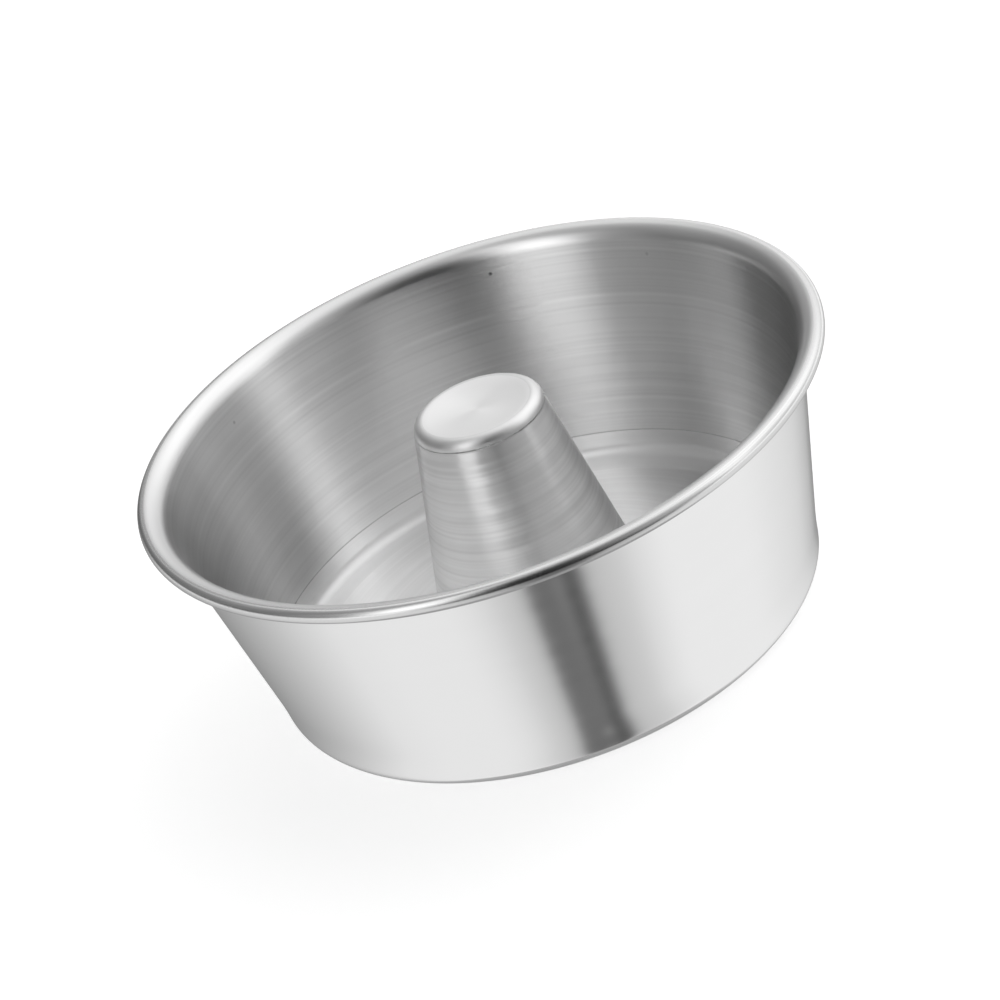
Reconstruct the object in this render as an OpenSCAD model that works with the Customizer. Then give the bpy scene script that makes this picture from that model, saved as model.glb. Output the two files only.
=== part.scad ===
// Ring cake pan drawn from one round of sheet metal: a tapered wall with a
// rolled rim, a flat floor and a closed, hollow centre tube.
// The sheet's section is drawn in the r-z plane as flat runs and round bends
// that meet end to end, and is then turned once about Z.

/* [Sheet] */
// Thickness of the sheet
sheet_t = 1; // [0.6:0.1:1.5]

/* [Wall and floor] */
// Diameter over the rolled rim
rim_d = 203.5; // [190:0.5:260]
// Height from the table to the top of the rim
pan_h = 75; // [60:0.5:110]
// Diameter where the line of the foot band meets the table
base_d = 164.6; // [150:0.1:176]
// Inside radius between floor and wall
corner_r = 3.5; // [2:0.1:6]
// Height of the foot band, which ends in a faint line inside the wall
band_h = 9; // [8:0.5:20]
// Slope of the foot band off the vertical, in degrees
band_draft = 6; // [2:0.5:9]

/* [Rolled rim] */
// Outside radius of the rolled bead
bead_r = 2.1; // [1.8:0.1:3]
// Turn of the bead's curl, from the top of the rim round and under, in degrees
curl_turn = 270; // [180:5:275]
// Radius of the flare that leads the wall's inside over into the rim
flare_r = 6; // [5.5:0.1:8]

/* [Centre tube] */
// Height of the tube's crown above the table
tube_h = 72.3; // [50:0.1:100]
// Diameter of the tube where it would meet the floor's upper face
tube_base_d = 65.2; // [56:0.1:80]
// Diameter of the tube where its side would meet the crown's height
tube_top_d = 37.7; // [26:0.1:46]
// Radius at the tube's foot, on the floor's upper side
tube_foot_r = 3; // [1:0.1:6]
// Outside radius round the tube's crown
crown_r = 3; // [2:0.1:6]
// Depth of the shallow dish in the tube's closed top
dish_depth = 1; // [0.4:0.1:2]

/* [Hidden] */
$fn = 180;

// Rim: bead and flare share the rim's highest point
crest_rad = rim_d / 2 - bead_r;
bead_c = [crest_rad, pan_h - bead_r];
flare_c = [crest_rad, pan_h - flare_r];

// Foot band: the inside face is a line that leans out by band_draft
function band_in(z) = base_d / 2 - sheet_t / cos(band_draft) + z * tan(band_draft);
corner_c = [
    band_in(sheet_t + corner_r) - corner_r / cos(band_draft),
    sheet_t + corner_r
];
kink = [band_in(band_h), band_h];

// Wall: the straight line from the band's top that just touches the flare
to_flare = flare_c - kink;
wall_draft = 90 - atan2(to_flare.y, to_flare.x) - asin(flare_r / norm(to_flare));
mid_draft = (wall_draft + band_draft) / 2;
kink_out = at(kink, sheet_t / cos((wall_draft - band_draft) / 2), -mid_draft);

// Centre tube: its side leans in by tube_draft
tube_draft = atan2((tube_base_d - tube_top_d) / 2, tube_h - sheet_t);
function tube_rad(z) = tube_base_d / 2 - (z - sheet_t) * tan(tube_draft);
foot_c = [
    tube_rad(sheet_t + tube_foot_r) + tube_foot_r / cos(tube_draft),
    sheet_t + tube_foot_r
];
crown_c = [
    tube_rad(tube_h - crown_r) - crown_r / cos(tube_draft),
    tube_h - crown_r
];

// Dish: a ball on the axis that rests on the bottom of the dish and touches
// the crown's radius from above
drop = crown_r - dish_depth;
dish_r = (drop * drop + crown_c.x * crown_c.x - crown_r * crown_r) / (2 * dish_depth);
dish_c = [0, tube_h - dish_depth + dish_r];
dish_turn = asin(crown_c.x / (dish_r + crown_r));

// A point of the section at a distance and an angle from a bend's centre
function at(centre, r, angle) = centre + r * [cos(angle), sin(angle)];

// A bend of the sheet: the part of a ring between two angles. Its two ends
// run through the same points as the ends of the runs that it meets.
module bend(centre, inner_r, from, to) {
    outer_r = inner_r + sheet_t;
    steps = ceil((to - from) / 60);
    intersection() {
        translate(centre)
        difference() {
            circle(outer_r);
            circle(inner_r);
        }
        polygon([
            centre,
            at(centre, inner_r, from),
            at(centre, outer_r, from),
            for (i = [0 : steps])
                at(centre, 2 * outer_r, from + (to - from) * i / steps),
            at(centre, outer_r, to),
            at(centre, inner_r, to)
        ]);
    }
}

module rim() {
    bend(bead_c, bead_r - sheet_t, 90 - curl_turn, 90);
    bend(flare_c, flare_r - sheet_t, 90, 180 - wall_draft);
}

module wall() {
    polygon([
        at(flare_c, flare_r, 180 - wall_draft),
        kink,
        at(corner_c, corner_r, 360 - band_draft),
        at(corner_c, corner_r + sheet_t, 360 - band_draft),
        kink_out,
        at(flare_c, flare_r - sheet_t, 180 - wall_draft)
    ]);
    bend(corner_c, corner_r, 270, 360 - band_draft);
}

module floor_run() {
    polygon([
        at(foot_c, tube_foot_r, 270),
        at(foot_c, tube_foot_r + sheet_t, 270),
        at(corner_c, corner_r + sheet_t, 270),
        at(corner_c, corner_r, 270)
    ]);
}

module tube() {
    bend(foot_c, tube_foot_r, 180 + tube_draft, 270);
    polygon([
        at(crown_c, crown_r, tube_draft),
        at(crown_c, crown_r - sheet_t, tube_draft),
        at(foot_c, tube_foot_r + sheet_t, 180 + tube_draft),
        at(foot_c, tube_foot_r, 180 + tube_draft)
    ]);
    bend(crown_c, crown_r - sheet_t, tube_draft, 90 + dish_turn);
    bend(dish_c, dish_r, 270, 270 + dish_turn);
}

module pan() {
    color([0.78, 0.78, 0.79])
    rotate_extrude() {
        rim();
        wall();
        floor_run();
        tube();
    }
}

pan();
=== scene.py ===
from math import asin, atan2, cos, degrees, hypot, pi, radians, sin, tan

import bpy
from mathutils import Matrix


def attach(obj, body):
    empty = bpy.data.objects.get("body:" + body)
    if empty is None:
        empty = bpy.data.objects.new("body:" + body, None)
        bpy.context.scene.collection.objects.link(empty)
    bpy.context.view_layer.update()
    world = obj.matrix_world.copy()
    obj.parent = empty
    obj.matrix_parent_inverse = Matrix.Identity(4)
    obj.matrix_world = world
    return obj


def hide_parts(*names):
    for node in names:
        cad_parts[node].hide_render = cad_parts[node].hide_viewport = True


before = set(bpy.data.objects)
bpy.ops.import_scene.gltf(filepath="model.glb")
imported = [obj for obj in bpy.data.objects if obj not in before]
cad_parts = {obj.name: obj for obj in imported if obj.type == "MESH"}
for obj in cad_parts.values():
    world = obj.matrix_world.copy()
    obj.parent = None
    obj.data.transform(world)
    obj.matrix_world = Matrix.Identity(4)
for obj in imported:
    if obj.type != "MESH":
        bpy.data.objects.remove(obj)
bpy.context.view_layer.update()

# --- Camera -----------------------------------------------------------------------
# A long lens looks down on the pan from the front at about 30 degrees. The photo
# is taken with the camera leaning, so the pan seems to tip over to the left.
lens_data = bpy.data.cameras.new("photo_camera")
lens_data.sensor_width = 36
lens_data.lens = 107.48
lens_data.clip_start = 0.05
camera = bpy.data.objects.new("photo_camera", lens_data)
camera.location = (0, -0.75112, 0.46625)
camera.rotation_euler = (radians(58.916), radians(17.322), radians(-9.973))
bpy.context.scene.collection.objects.link(camera)
bpy.context.scene.camera = camera

# --- The pan: section of the sheet ------------------------------------------------
# One round of 1 mm aluminium is drawn into wall, floor and centre tube, and its
# edge is rolled outwards into a bead. Lengths are in metres and slopes in degrees
# from upright. The section is a chain of runs and bends, turned once round the axis.
sheet = 0.001
rim_radius, height = 0.10174, 0.075
bead_radius, bead_turn, flare_radius = 0.0021, 270, 0.006
foot_line_radius, band_height, band_slope, corner_radius = 0.0823, 0.009, 6, 0.0035
tube_height, tube_foot, tube_top = 0.0723, 0.0326, 0.01885
foot_bend, crown_radius, dish_depth = 0.003, 0.003, 0.001
# a faint line round the tube below its crown, and one round the wall at the foot band
tube_line_height, tube_line_depth, band_line_depth = 0.0688, 0.00003, 0.00008
line_reach, line_flank = 0.0005, 0.0002

bead = (rim_radius - bead_radius, height - bead_radius)
flare = (rim_radius - bead_radius, height - flare_radius)


def band_inside(z):
    """Radius of the foot band's inside at a height."""
    return foot_line_radius - sheet / cos(radians(band_slope)) + z * tan(radians(band_slope))


corner_height = sheet + corner_radius
corner = (band_inside(corner_height) - corner_radius / cos(radians(band_slope)), corner_height)
kink = (band_inside(band_height), band_height)
reach = (flare[0] - kink[0], flare[1] - kink[1])
wall_slope = 90 - degrees(atan2(reach[1], reach[0]) + asin(flare_radius / hypot(*reach)))
half_turn = radians((wall_slope - band_slope) / 2)
half_slope = radians((wall_slope + band_slope) / 2)
kink_back = (kink[0] + sheet / cos(half_turn) * cos(half_slope),
             kink[1] - sheet / cos(half_turn) * sin(half_slope))
tube_slope = degrees(atan2(tube_foot - tube_top, tube_height - sheet))


def tube_side(z):
    """Radius of the tube's side at a height."""
    return tube_foot - (z - sheet) * tan(radians(tube_slope))


foot_height, crown_height = sheet + foot_bend, tube_height - crown_radius
foot = (tube_side(foot_height) + foot_bend / cos(radians(tube_slope)), foot_height)
crown = (tube_side(crown_height) - crown_radius / cos(radians(tube_slope)), crown_height)
drop = crown_radius - dish_depth
dish_radius = (drop ** 2 + crown[0] ** 2 - crown_radius ** 2) / (2 * dish_depth)
dish = (0, tube_height - dish_depth + dish_radius)
dish_turn = degrees(asin(crown[0] / (dish_radius + crown_radius)))


def bend(centre, radius, start, end, steps):
    """Points of one bend, from angle start to angle end, both included."""
    turn = [radians(start + (end - start) * i / steps) for i in range(steps + 1)]
    return [(centre[0] + radius * cos(a), centre[1] + radius * sin(a)) for a in turn]


def run(start, end, steps):
    """Points inside a straight run, without its two ends."""
    return [tuple(a + (b - a) * i / steps for a, b in zip(start, end)) for i in range(1, steps)]


def tool_line(place, slope, depth):
    """The fine groove that the spinning tool leaves where it stops: points before, in and after it."""
    deep = (place[0] - depth * cos(radians(slope)), place[1] - depth * sin(radians(slope)))
    along = (-sin(radians(slope)), cos(radians(slope)))
    edges = [(place[0] + along[0] * d, place[1] + along[1] * d)
             for d in (line_reach, line_flank, -line_flank, -line_reach)]
    return edges[:2], [deep, edges[2]], edges[3:]


# the upper side, from the middle of the tube's top outwards to the flare
top = bend(dish, dish_radius, 270, 270 + dish_turn, 10)
collar = bend(crown, crown_radius, 90 + dish_turn, tube_slope, 16)
tube_line = (tube_side(tube_line_height), tube_line_height)
before_line, in_tube_line, after_line = tool_line(tube_line, tube_slope, tube_line_depth)
collar += run(collar[-1], tube_line, 3) + before_line + in_tube_line
foot_up = bend(foot, foot_bend, 180 + tube_slope, 270, 10)
side = after_line + run(after_line[0], foot_up[0], 12) + foot_up
base = run(side[-1], (corner[0], sheet), 8)
fillet = bend(corner, corner_radius, 270, 360 - band_slope, 12)
before_line, in_band_line, after_line = tool_line(kink, 180 - wall_slope, band_line_depth)
low_wall = run(fillet[-1], kink, 6) + before_line
flare_in = bend(flare, flare_radius, 180 - wall_slope, 90, 16)
wall = after_line + run(after_line[0], flare_in[0], 14) + flare_in[:3]
flared = flare_in[3:-1]
# the bead, round its outside to the free edge and back along its inside
rolled = bend(bead, bead_radius, 90, 90 - bead_turn, 54)
rolled += bend(bead, bead_radius - sheet, 90 - bead_turn, 90, 30)
# the lower side, back to the middle. Its wall turns softly into the foot band.
outside = bend(flare, flare_radius - sheet, 90, 180 - wall_slope, 14)[1:]
wall_back = run(outside[-1], kink_back, 14)
corner_back = bend(corner, corner_radius + sheet, 360 - band_slope, 270, 12)
above, below = wall_back[-1], run(kink_back, corner_back[0], 5)[-1]
soft_kink = [tuple((1 - t) ** 2 * a + 2 * t * (1 - t) * b + t * t * c
                   for a, b, c in zip(above, kink_back, below))
             for t in (0.15, 0.3, 0.45, 0.6, 0.75, 0.9)]
outside += wall_back + soft_kink + [below] + corner_back[:3]
# the bottom edge where the pan stands, which is painted darker as painted shade from the table
below_foot = corner_back[3:-2]
underside = corner_back[-2:] + run(corner_back[-1], (foot[0], 0), 8)
underside += bend(foot, foot_bend + sheet, 270, 180 + tube_slope, 10)
crown_back = bend(crown, crown_radius - sheet, tube_slope, 90 + dish_turn, 12)
underside += run(underside[-1], crown_back[0], 12) + crown_back
underside += bend(dish, dish_radius + sheet, 270 + dish_turn, 270, 10)[1:]

chain = [("pressed_top", top), ("smooth_collar", collar), ("spun_tube", side), ("spun_floor", base),
         ("smooth_fillet", fillet), ("spun_floor", low_wall), ("groove", in_band_line), ("spun_wall", wall),
         ("spun_flare", flared), ("rolled_rim", rolled), ("polished_outside", outside),
         ("foot_edge_painted_shade", below_foot), ("polished_outside", underside)]
finish_names = list(dict.fromkeys(finish_name for finish_name, part in chain))
section, ring_finish = [], []
for finish_name, part in chain:
    section += part
    ring_finish += [finish_names.index(finish_name)] * len(part)

turns, on_axis = 320, 1e-7
points, faces, face_finish, ring_starts = [], [], [], []
for r, z in section:
    ring_starts.append(len(points))
    steps = [0] if r < on_axis else [2 * pi * (k + 0.5) / turns for k in range(turns)]
    points += [(r * cos(a), r * sin(a), z) for a in steps]
for i in range(len(section) - 1):
    a, b = ring_starts[i], ring_starts[i + 1]
    for k in range(turns):
        n = (k + 1) % turns
        if section[i][0] < on_axis:
            faces.append((a, b + k, b + n))
        elif section[i + 1][0] < on_axis:
            faces.append((a + k, b, a + n))
        else:
            faces.append((a + k, b + k, b + n, a + n))
        face_finish.append(ring_finish[i + 1])

pan_mesh = bpy.data.meshes.new("pan_sheet")
pan_mesh.from_pydata(points, [], faces)
pan_mesh.polygons.foreach_set("use_smooth", [True] * len(faces))
pan_mesh.polygons.foreach_set("material_index", face_finish)
pan = bpy.data.objects.new("pan_sheet", pan_mesh)
bpy.context.scene.collection.objects.link(pan)

# --- Finish of the metal ----------------------------------------------------------
# All of it is bare aluminium with no coating. The inside is brushed while the pan
# spins, so fine lines run round it, with one groove at the foot band that is painted
# darker, as painted shade and dirt. The pressed top and the bends are plainer, the rim
# and the outside are polished, and the bottom edge where the pan stands is rougher and
# painted darker, as painted shade from the table.
number, vector = "ShaderNodeMath", "ShaderNodeVectorMath"


def maths(tree, kind, operation, *values):
    """One math node, of numbers or vectors, with its inputs wired or set."""
    node = tree.nodes.new(kind)
    node.operation = operation
    if operation == "SCALE":
        values = {"Vector": values[0], "Scale": values[1]}
    else:
        values = dict(enumerate(values))
    for socket, value in values.items():
        if isinstance(value, bpy.types.NodeSocket):
            tree.links.new(value, node.inputs[socket])
        else:
            node.inputs[socket].default_value = value
    return node.outputs["Vector" if kind == vector and operation != "LENGTH" else "Value"]


# the lines that the brush leaves, about a millimetre wide and much longer than that, and painted light that
# makes the metal paler towards the bottom
spun = bpy.data.node_groups.new("spun_lines", "ShaderNodeTree")
for name, value in (("Across", 900), ("Around", 1), ("Sway", 0.1), ("Painted Light Low", 0)):
    spun.interface.new_socket(name, in_out="INPUT", socket_type="NodeSocketFloat").default_value = value
spun.interface.new_socket("Lines And Painted Light", in_out="OUTPUT", socket_type="NodeSocketFloat")
spun.interface.new_socket("Swayed", in_out="OUTPUT", socket_type="NodeSocketVector")
given = spun.nodes.new("NodeGroupInput").outputs
put_out = spun.nodes.new("NodeGroupOutput").inputs
on_pan = spun.nodes.new("ShaderNodeTexCoord").outputs["Object"]
split = spun.nodes.new("ShaderNodeSeparateXYZ")
spun.links.new(on_pan, split.inputs[0])
from_axis = maths(spun, vector, "MULTIPLY", on_pan, (1, 1, 0))
outward = maths(spun, vector, "NORMALIZE", from_axis)
up_the_sheet = maths(spun, number, "ADD", maths(spun, vector, "LENGTH", from_axis), split.outputs["Z"])
across_lines = spun.nodes.new("ShaderNodeCombineXYZ")
spun.links.new(maths(spun, number, "MULTIPLY", up_the_sheet, given["Across"]), across_lines.inputs["Z"])
around_lines = maths(spun, vector, "SCALE", outward, given["Around"])
line_place = maths(spun, vector, "ADD", across_lines.outputs[0], around_lines)


def brush_lines(closeness):
    """Noise drawn out round the pan. The closer the lines, the finer they are."""
    noise = spun.nodes.new("ShaderNodeTexNoise")
    noise.inputs["Scale"].default_value = 1
    noise.inputs["Detail"].default_value = 0
    spun.links.new(maths(spun, vector, "MULTIPLY", line_place, (1, 1, closeness)), noise.inputs["Vector"])
    return noise.outputs["Fac"]


broad, fine = brush_lines(0.3), brush_lines(1)
broad_share, fine_share = 0.3, 0.7
lines = maths(spun, number, "MULTIPLY", broad, broad_share)
lines = maths(spun, number, "MULTIPLY_ADD", fine, fine_share, lines)
# painted light: the metal is painted paler lower down, for the brighter reflections low on the wall
painted_light_ramp = maths(spun, number, "MULTIPLY_ADD", split.outputs["Z"], -1 / height, 0.5)
lines = maths(spun, number, "MULTIPLY_ADD", painted_light_ramp, given["Painted Light Low"], lines)
spun.links.new(lines, put_out["Lines And Painted Light"])
# the same lines lean the surface a little to the left or right, round the pan
lean = maths(spun, number, "MULTIPLY", maths(spun, number, "SUBTRACT", fine, 0.5), given["Sway"])
round_way = maths(spun, vector, "CROSS_PRODUCT", outward, (0, 0, 1))
push = maths(spun, vector, "SCALE", round_way, lean)
facing = spun.nodes.new("ShaderNodeNewGeometry").outputs["Normal"]
swayed = maths(spun, vector, "NORMALIZE", maths(spun, vector, "ADD", facing, push))
spun.links.new(swayed, put_out["Swayed"])

# a small dark speck on the metal: solid to a third of its reach, then fading
speck = bpy.data.node_groups.new("speck", "ShaderNodeTree")
speck.interface.new_socket("Middle", in_out="INPUT", socket_type="NodeSocketVector")
for name, value in (("Reach", 0.0005), ("Depth", 0.5)):
    speck.interface.new_socket(name, in_out="INPUT", socket_type="NodeSocketFloat").default_value = value
speck.interface.new_socket("Mask", in_out="OUTPUT", socket_type="NodeSocketFloat")
given = speck.nodes.new("NodeGroupInput").outputs
on_pan = speck.nodes.new("ShaderNodeTexCoord").outputs["Object"]
away = maths(speck, vector, "LENGTH", maths(speck, vector, "SUBTRACT", on_pan, given["Middle"]))
fade_steepness = 1.5
fade = maths(speck, number, "MULTIPLY", maths(speck, number, "DIVIDE", away, given["Reach"]), fade_steepness)
fade = maths(speck, number, "MAXIMUM", maths(speck, number, "SUBTRACT", fade_steepness, fade), 0)
mask = maths(speck, number, "MULTIPLY", maths(speck, number, "MINIMUM", fade, 1), given["Depth"])
speck.links.new(mask, speck.nodes.new("NodeGroupOutput").inputs["Mask"])


def mixed(tree, first, second, share):
    """A mix of two greys, from the first at share 0 to the second at share 1."""
    mix = tree.nodes.new("ShaderNodeMix")
    mix.data_type = "RGBA"
    mix.clamp_result = True
    for socket, value in (("A", first), ("B", second)):
        if isinstance(value, bpy.types.NodeSocket):
            tree.links.new(value, mix.inputs[socket])
        else:
            mix.inputs[socket].default_value = (value, value, value, 1)
    tree.links.new(share, mix.inputs["Factor"])
    return mix.outputs["Result"]


rough_spread, speck_grey = 0.04, 0.06


def metal(name, grey, edge, roughness, drawn_out, across, around, sway, shade, painted_light_low=0, specks=()):
    """Bare aluminium with spun lines.

    edge is its grey seen along the sheet; below 1 this is painted shade, standing in for the near
    light and the inside reflections. drawn_out is how far the lines draw its gloss out.
    across is how many lines there are to the metre, and around how often they change on their
    way round. sway is how far they lean the surface, shade how much paler and darker than grey
    they are, and painted_light_low how much paler the metal is painted towards the bottom: painted light,
    standing in for brighter reflections low on the wall.
    """
    material = bpy.data.materials.new(name)
    material.use_nodes = True
    tree = material.node_tree
    shader = tree.nodes["Principled BSDF"].inputs
    shader["Metallic"].default_value = 1
    # painted shade: a Specular Tint below 1 darkens the metal seen along the sheet, standing in for the near
    # light and the inside reflections
    shader["Specular Tint"].default_value = (edge, edge, edge, 1)
    shader["Anisotropic"].default_value = drawn_out
    shader["Anisotropic Rotation"].default_value = 0.25
    tangent = tree.nodes.new("ShaderNodeTangent")
    tangent.direction_type = "RADIAL"
    tangent.axis = "Z"
    tree.links.new(tangent.outputs[0], shader["Tangent"])
    lines = tree.nodes.new("ShaderNodeGroup")
    lines.node_tree = spun
    for socket, value in (("Across", across), ("Around", around), ("Sway", sway), ("Painted Light Low", painted_light_low)):
        lines.inputs[socket].default_value = value
    tint = mixed(tree, grey - shade, grey + shade, lines.outputs["Lines And Painted Light"])
    for middle, reach, depth in specks:
        dirt = tree.nodes.new("ShaderNodeGroup")
        dirt.node_tree = speck
        for socket, value in (("Middle", middle), ("Reach", reach), ("Depth", depth)):
            dirt.inputs[socket].default_value = value
        tint = mixed(tree, tint, speck_grey, dirt.outputs["Mask"])
    tree.links.new(tint, shader["Base Color"])
    smoothest = roughness - rough_spread / 2
    rough = maths(tree, number, "MULTIPLY_ADD", lines.outputs["Lines And Painted Light"], rough_spread, smoothest)
    tree.links.new(rough, shader["Roughness"])
    tree.links.new(lines.outputs["Swayed"], shader["Normal"])
    return material


wall_specks = [((0.0183, 0.0912, 0.0664), 0.0008, 0.8),
               ((-0.0705, 0.06, 0.0637), 0.0007, 0.3),
               ((0.0648, 0.0669, 0.0664), 0.0008, 0.2)]
# name: grey, edge, roughness, drawn_out, across, around, sway, shade
finishes = {
    "pressed_top": (0.98, 1, 0.45, 0.4, 100, 1, 0.04, 0.04),
    "smooth_collar": (0.87, 1, 0.42, 0.5, 300, 1, 0.01, 0.02),
    "spun_tube": (0.93, 0.75, 0.3, 1, 1300, 0.35, 0.12, 0.17),
    "spun_floor": (0.97, 0.9, 0.3, 1, 900, 0.4, 0.04, 0.07),
    "smooth_fillet": (0.95, 0.8, 0.45, 0.7, 400, 1, 0.01, 0.03),
    # painted shade and dirt: the groove's darker grey stands in for the shade and dirt in it
    "groove": (0.68, 0.8, 0.4, 0.5, 300, 1, 0.01, 0.05),
    # the inside wall is painted paler towards the bottom, as painted light
    "spun_wall": (0.865, 0.5, 0.3, 1, 850, 0.2, 0.04, 0.11, 0.3, wall_specks),
    "spun_flare": (0.83, 0.8, 0.31, 0.6, 500, 0.3, 0.01, 0.05),
    "rolled_rim": (0.79, 1, 0.25, 0.2, 200, 1, 0.01, 0.02),
    "polished_outside": (0.95, 1, 0.13, 0, 200, 1, 0.005, 0.01),
    # painted shade: the bottom edge's darker grey stands in for the shaded table under the pan
    "foot_edge_painted_shade": (0.88, 1, 0.35, 0, 200, 1, 0.005, 0.01),
}
for finish_name in finish_names:
    pan_mesh.materials.append(metal(finish_name, *finishes[finish_name]))
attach(pan, "root")
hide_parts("pan")

# --- Table ------------------------------------------------------------------------
# The pan stands on a wide white table. It looks white and takes the pan's shadow,
# but doesn't show in the metal, because the tent's low ring stands for it there.
table_half, table_white, table_glow = 6, 0.8, 0.6
floor_mesh = bpy.data.meshes.new("floor")
corners = [(x * table_half, y * table_half, 0) for x, y in ((-1, -1), (1, -1), (1, 1), (-1, 1))]
floor_mesh.from_pydata(corners, [], [(0, 1, 2, 3)])
floor = bpy.data.objects.new("floor", floor_mesh)
bpy.context.scene.collection.objects.link(floor)
white = bpy.data.materials.new("white_table")
white.use_nodes = True
nodes, links = white.node_tree.nodes, white.node_tree.links
nodes.clear()
paper = nodes.new("ShaderNodeBsdfDiffuse")
paper.inputs["Color"].default_value = (table_white, table_white, table_white, 1)
seen = nodes.new("ShaderNodeLightPath").outputs
either = maths(white.node_tree, number, "MAXIMUM", seen["Is Camera Ray"], seen["Is Glossy Ray"])
glow = nodes.new("ShaderNodeEmission")
links.new(maths(white.node_tree, number, "MULTIPLY", either, table_glow), glow.inputs["Strength"])
both = nodes.new("ShaderNodeAddShader")
links.new(paper.outputs[0], both.inputs[0])
links.new(glow.outputs[0], both.inputs[1])
links.new(both.outputs[0], nodes.new("ShaderNodeOutputMaterial").inputs["Surface"])
floor_mesh.materials.append(white)
floor.visible_glossy = False

# --- Light tent -------------------------------------------------------------------
# A white tent with dark flags beside the camera, which the metal shows as streaks.
# Its light changes only with the way one looks, so it is in the world: four rings
# one above the other, an even part overhead and below, and one glint.
# Each ring is a list of compass angle in degrees and brightness, and each height
# list says how much of its ring is seen at an angle above or below level.
low_ring = [
    (-180, .79), (-155, .83), (-135, .83), (-125, .8), (-117, .74), (-108, .63), (-102.5, .57), (-97.5, .42),
    (-92.5, .14), (-82.5, .15), (-77.5, .08), (-72.5, .32), (-67.5, .54), (-57, .62), (-45, .77), (-30, .86),
    (0, .86), (25, .79), (45, .7), (55, .6), (65, .48), (75, .32), (90, .35), (105, .3), (115, .33), (125, .38),
    (145, .51), (165, .67), (180, .79)]
low_by_height = [(-90, 0), (-66, 0), (-57, 1), (-12, 1), (-8, 0), (90, 0)]
middle_ring = [
    (-180, .88), (-165, .92), (-155, 1.08), (-146, 1.24), (-135, 1.12), (-125, .65), (-117.5, .13), (-112, 0),
    (-54, 0), (-45, .34), (-35, .98), (-26, 1.25), (5, 1.25), (15, 1.14), (25, 1.18), (35, 1.25), (70, 1.25),
    (80, 1.1), (96, 1.1), (105, .53), (115, .12), (125, .25), (135, .67), (145, .9), (160, .92), (180, .88)]
middle_by_height = [(-90, 0), (-12, 0), (-8, 1), (1, 1), (5, 0), (90, 0)]
high_ring = [
    (-180, .17), (-165, .3), (-155, .3), (-148, .6), (-140, 1.55), (-133, 1.75), (-125, 1.6), (-116, .8),
    (-106, .05), (-98, 0), (-78, .04), (-65, .2), (-55, .35), (-45, .5), (-35, .55), (-26, .85), (-17, 1.42),
    (-7, 1), (5, .95), (18, 1.15), (35, 1.28), (55, 1.2), (66, 1.1), (80, 1.05), (86, 1.02), (91, .8), (97, .3),
    (103, .45), (108, .45), (116, .25), (135, .21), (155, .23), (165, .23), (180, .17)]
high_by_height = [
    (-90, 0), (1, 0), (5, .63), (11, .65), (17, .83), (22, .85), (28, 1), (36, 1), (42, 0), (90, 0)]
upper_ring = [
    (-180, .22), (-165, .33), (-155, .65), (-145, 1.2), (-135, 1.4), (-125, 1.15), (-115, .56), (-105, .08),
    (-97, 0), (-80, .05), (-65, .2), (-45, .35), (-35, .6), (-25, .78), (-15, .96), (-5, 1.24), (5, 1.38),
    (18, 1.25), (30, 1.12), (45, 1.26), (55, 1.4), (66, 1.15), (78, .97), (88, 1), (98, 1.05), (106, 1),
    (112, .8), (118, .5), (127, .36), (140, .36), (160, .24), (180, .22)]
upper_by_height = [(-90, 0), (36, 0), (42, 1), (57, 1), (64, .65), (78, .58), (84, .43), (90, .43)]
glint_ring = [(-180, 0), (-87, 0), (-83.5, .14), (-80, 0), (180, 0)]
glint_by_height = [(-90, 0), (-53, 0), (-52, 1), (-50.5, 1), (-49.5, 0), (90, 0)]
even_by_height = [(-90, .35), (-70, .4), (-64, .35), (-56, 0), (57, 0), (63, .22), (90, .22)]
brightest = 1.8

world = bpy.data.worlds.new("studio")
bpy.context.scene.world = world
world.use_nodes = True
tent = world.node_tree


def light_curve(angle, whole, curve_points):
    """Brightness against an angle in radians, from -whole/2 to whole/2 degrees."""
    node = tent.nodes.new("ShaderNodeFloatCurve")
    turned = maths(tent, number, "ADD", maths(tent, number, "MULTIPLY", angle, degrees(1) / whole), 0.5)
    tent.links.new(turned, node.inputs["Value"])
    curve = node.mapping.curves[0]
    spots = [(degree / whole + 0.5, light / brightest) for degree, light in curve_points]
    for spot in spots[1:-1]:
        curve.points.new(*spot)
    curve.points[0].location = spots[0]
    curve.points[-1].location = spots[-1]
    for point in curve.points:
        point.handle_type = "AUTO_CLAMPED"
    node.mapping.update()
    return maths(tent, number, "MULTIPLY", node.outputs["Value"], brightest)


way = tent.nodes.new("ShaderNodeSeparateXYZ")
tent.links.new(tent.nodes.new("ShaderNodeTexCoord").outputs["Generated"], way.inputs[0])
compass = maths(tent, number, "ARCTAN2", way.outputs["Y"], way.outputs["X"])
climb = maths(tent, number, "ARCSINE", way.outputs["Z"])
light = light_curve(climb, 180, even_by_height)
rings = ((low_ring, low_by_height), (middle_ring, middle_by_height), (high_ring, high_by_height),
         (upper_ring, upper_by_height), (glint_ring, glint_by_height))
for ring, by_height in rings:
    shown = maths(tent, number, "MULTIPLY", light_curve(compass, 360, ring), light_curve(climb, 180, by_height))
    light = maths(tent, number, "ADD", light, shown)
# the camera itself sees plain white behind the pan
to_camera = tent.nodes.new("ShaderNodeLightPath").outputs["Is Camera Ray"]
light = maths(tent, number, "MAXIMUM", light, to_camera)
background = tent.nodes["Background"]
tent.links.new(light, background.inputs["Strength"])
background.inputs["Color"].default_value = (1, 1, 1, 1)
bpy.context.scene.view_settings.view_transform = "Standard"
